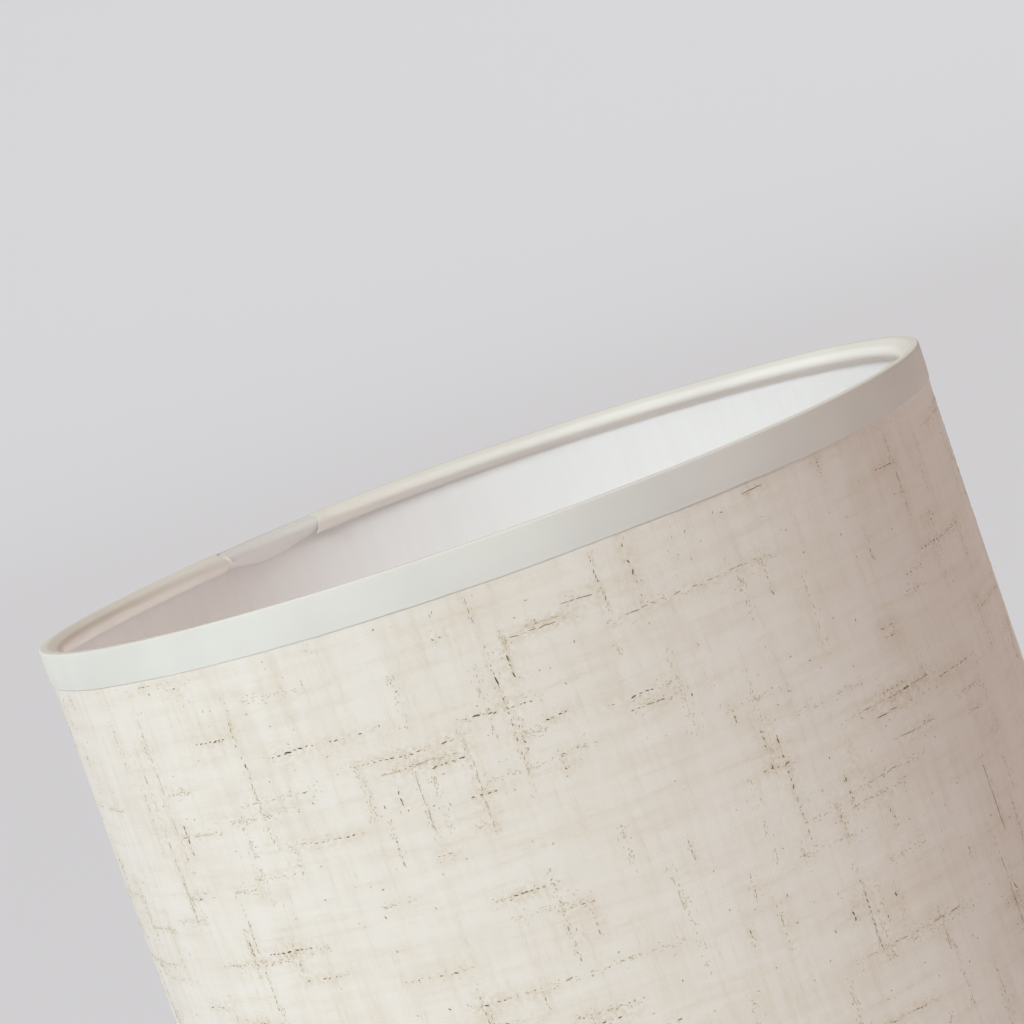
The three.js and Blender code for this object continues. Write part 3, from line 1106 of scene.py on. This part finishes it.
class SHADE_OT_settle(Operator):
    """Lets the upper rim sag a little beside the join: heights fall by the sag times two bell
    curves of the turn, times a smooth step of the height over the top third of the drum"""

    bl_idname = "shade.settle"
    bl_label = "Settle the rim"

    def execute(self, context):
        settings = context.scene.shade_tape
        width, second = math.radians(40), math.radians(100)
        for name in SETTLING:
            made = bpy.data.objects[name]
            flat = np.zeros(len(made.data.vertices) * 3, np.float32)
            made.data.vertices.foreach_get("co", flat)
            points = flat.reshape(-1, 3)
            turn = np.arctan2(points[:, 1], points[:, 0])
            share = smooth_step((points[:, 2] / HEIGHT - 0.66) / 0.34)
            for depth, centre in ((1.0, settings.sag_turn), (0.5, settings.sag_turn - second)):
                bell = np.exp(-((signed_turn(turn, centre) / width) ** 2))
                points[:, 2] -= settings.sag * depth * bell * share
            made.data.vertices.foreach_set("co", points.ravel())
            made.data.update()
        return {"FINISHED"}


# The stage --------------------------------------------------------------------------------------


def paper_sweep(tint):
    """A round sheet of paper, flat under the shade and rising gently far round it: height is
    0.15 times (sqrt(d^2 + 1) - 1), with d the distance past the flat part, 2.5 m out."""
    radius = np.concatenate([[0.02], np.linspace(0.2, 18.0, 60)])
    height = 0.15 * (np.sqrt(np.maximum(radius - 2.5, 0) ** 2 + 1) - 1)
    turn = np.linspace(0, TURN, 96, endpoint=False)[:, None]
    points = round_drum(turn, radius, height).swapaxes(0, 1)
    at = np.arange(points[..., 0].size).reshape(points.shape[:2])
    mesh = bpy.data.meshes.new("paper_sweep")
    faces = [*ring_faces(at).tolist(), at[0].tolist()]
    mesh.from_pydata(points.reshape(-1, 3).tolist(), [], faces)
    mesh.shade_smooth()
    n = Nodes("pale_paper")
    mesh.materials.append(n.set(Base_Color=tint, Roughness=0.95, Specular_IOR_Level=0.1))
    link(bpy.data.objects.new("paper_sweep", mesh))


def add_light(name, kind, energy, tint, place, aim, **more):
    """A light that camera rays don't see, at a place, facing its aim; more sets its own values."""
    data = bpy.data.lights.new(name, kind)
    data.energy, data.color = energy, tint
    for key, value in more.items():
        setattr(data, key, value)
    made = link(bpy.data.objects.new(name, data))
    made.location = place
    made.rotation_euler = (place - aim).to_track_quat("Z", "Y").to_euler()
    made.visible_camera = False


def direction(heading, rise=0.0):
    """The level direction at a heading from -Y towards +X, lifted by the rise."""
    level = Vector((math.sin(heading), -math.cos(heading), 0.0)) * math.cos(rise)
    return level + Vector((0.0, 0.0, math.sin(rise)))


def set_lights(settings):
    """Two soft distant lights, a small panel over the rim, a small bulb inside the drum, and an
    even sky."""
    origin, upper = Vector((0, 0, 0)), Vector((0, 0, HEIGHT))
    key_from = direction(settings.heading + settings.key_turn, settings.key_rise)
    width = settings.softness
    add_light("key", "SUN", settings.key, settings.key_tint, key_from, origin, angle=width)
    fill_from = direction(settings.heading + settings.fill_turn, settings.fill_rise)
    add_light("fill", "SUN", settings.fill, settings.fill_tint, fill_from, origin, angle=1.0)
    bulb = direction(settings.heading + math.radians(240)) * 0.045 + Vector((0, 0, 0.10))
    glow, tint = settings.glow, settings.glow_tint
    add_light("inside", "POINT", glow, tint, bulb, origin, shadow_soft_size=0.03)
    beside = direction(settings.heading + math.radians(50))
    overhead = upper + Vector((0, 0, 0.2)) + beside * 0.085
    far_side = upper - Vector((0, 0, 0.01)) - beside * COVER_RADIUS
    panel = {"shape": "SQUARE", "size": 0.08}
    add_light("top", "AREA", settings.top, settings.top_tint, overhead, far_side, **panel)
    world = bpy.data.worlds.new("even_light")
    world.use_nodes = True
    background = world.node_tree.nodes["Background"]
    background.inputs["Color"].default_value = (*settings.sky_tint, 1.0)
    background.inputs["Strength"].default_value = settings.sky
    bpy.context.scene.world = world


def set_camera(settings):
    """The camera: level and facing the drum's axis, then turned by its yaw, pitch and roll."""
    towards, right = direction(settings.heading), direction(settings.heading + math.pi / 2)
    level = -towards * math.cos(settings.yaw) + right * math.sin(settings.yaw)
    ahead = level * math.cos(settings.pitch) - Vector((0, 0, math.sin(settings.pitch)))
    side = ahead.cross(Vector((0, 0, 1))).normalized()
    over = side.cross(ahead)
    camera_x = side * math.cos(settings.roll) - over * math.sin(settings.roll)
    camera_y = side * math.sin(settings.roll) + over * math.cos(settings.roll)
    data = bpy.data.cameras.new("camera")
    data.sensor_width = 36.0
    data.lens = settings.lens
    data.clip_start, data.clip_end = 0.01, 60.0
    camera = link(bpy.data.objects.new("camera", data))
    place = towards * settings.away + Vector((0, 0, HEIGHT + settings.above))
    turn = Matrix((camera_x, camera_y, -ahead)).transposed()
    camera.matrix_world = Matrix.Translation(place) @ turn.to_4x4()
    bpy.context.scene.camera = camera


class SHADE_OT_stage(Operator):
    """Sets out the paper sweep, the soft lights and the camera"""

    bl_idname = "shade.stage"
    bl_label = "Stage"

    def execute(self, context):
        settings = context.scene.shade_stage
        paper_sweep(settings.floor)
        set_lights(settings)
        set_camera(settings)
        context.scene.view_settings.view_transform = "Standard"
        return {"FINISHED"}


# The add-on -------------------------------------------------------------------------------------


class SHADE_PT_panel(Panel):
    """Lists the steps of making the shade"""

    bl_idname = "SHADE_PT_panel"
    bl_label = "Lamp shade"
    bl_space_type = "VIEW_3D"
    bl_region_type = "UI"
    bl_category = "Lamp shade"

    def draw(self, context):
        for step in STEPS:
            self.layout.operator(step.bl_idname)
        for group in ("shade_linen", "shade_tape", "shade_frame", "shade_stage"):
            box = self.layout.box()
            settings = getattr(context.scene, group)
            for key in settings.__annotations__:
                box.prop(settings, key)


STEPS = (
    SHADE_OT_liner,
    SHADE_OT_linen,
    SHADE_OT_flecks,
    SHADE_OT_wires,
    SHADE_OT_rims,
    SHADE_OT_settle,
    SHADE_OT_fitter,
    SHADE_OT_stage,
)
GROUPS = {
    "shade_linen": LinenSettings,
    "shade_tape": TapeSettings,
    "shade_frame": FrameSettings,
    "shade_stage": StageSettings,
}


def register():
    """Registers the settings, the steps and the panel."""
    for cls in (*GROUPS.values(), *STEPS, SHADE_PT_panel):
        bpy.utils.register_class(cls)
    for name, cls in GROUPS.items():
        setattr(bpy.types.Scene, name, PointerProperty(type=cls))


def unregister():
    """Takes everything away again."""
    for name in GROUPS:
        delattr(bpy.types.Scene, name)
    for cls in reversed((*GROUPS.values(), *STEPS, SHADE_PT_panel)):
        bpy.utils.unregister_class(cls)


def main():
    """Registers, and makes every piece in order."""
    register()
    for step in STEPS:
        group, name = step.bl_idname.split(".")
        getattr(getattr(bpy.ops, group), name)()


if __name__ == "__main__":
    main()
